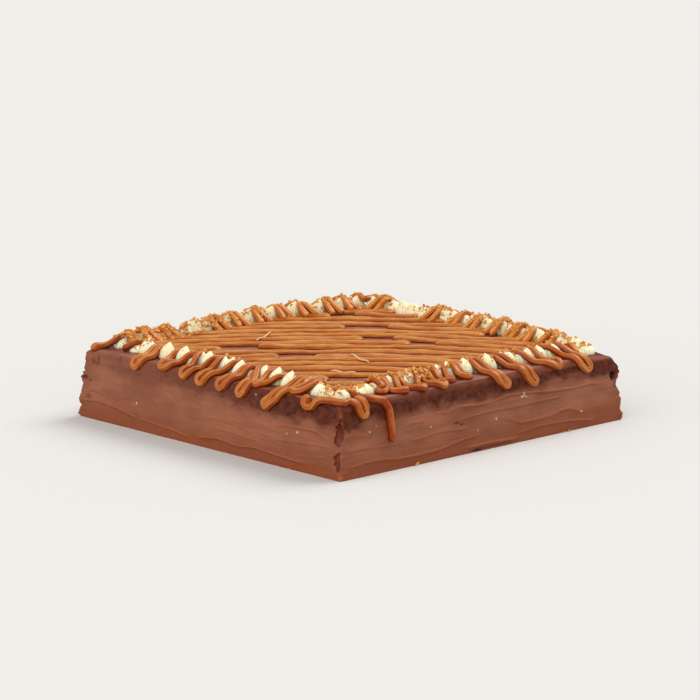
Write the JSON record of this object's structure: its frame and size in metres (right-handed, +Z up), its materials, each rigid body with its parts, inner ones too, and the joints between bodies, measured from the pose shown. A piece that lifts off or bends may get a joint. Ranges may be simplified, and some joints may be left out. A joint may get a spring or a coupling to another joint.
{
  "type": "chocolate caramel cake",
  "caption": "Square chocolate cake in a thin coat of chocolate cream, with a piped cream border and caramel lines over its top.",
  "frame": {"origin": "middle of the cake's underside", "axes": "+Z up; +X and +Y along the cake's sides; the corner at +X and -Y is the front one, as the cake is usually looked at"},
  "size_m": [0.2061, 0.2062, 0.0459],
  "materials": {
    "chocolate_coat": "chocolate cream spread thin with a spatula, soft satin sheen",
    "whipped_cream": "piped cream, ivory white, soft and slightly moist",
    "caramel": "thick caramel sauce, glossy",
    "biscuit_crumbs": "baked golden crumbs, dry and rough"
  },
  "bodies": {
    "root": {"cake": "chocolate_coat", "caramel_line": "caramel", "cream_row_front_left": "whipped_cream", "cream_row_front_right": "whipped_cream", "cream_row_back_right": "whipped_cream", "cream_row_back_left": "whipped_cream", "cream_corner_left": "whipped_cream", "cream_corner_front": "whipped_cream", "cream_corner_right": "whipped_cream", "cream_corner_back": "whipped_cream"}
  },
  "joints": []
}
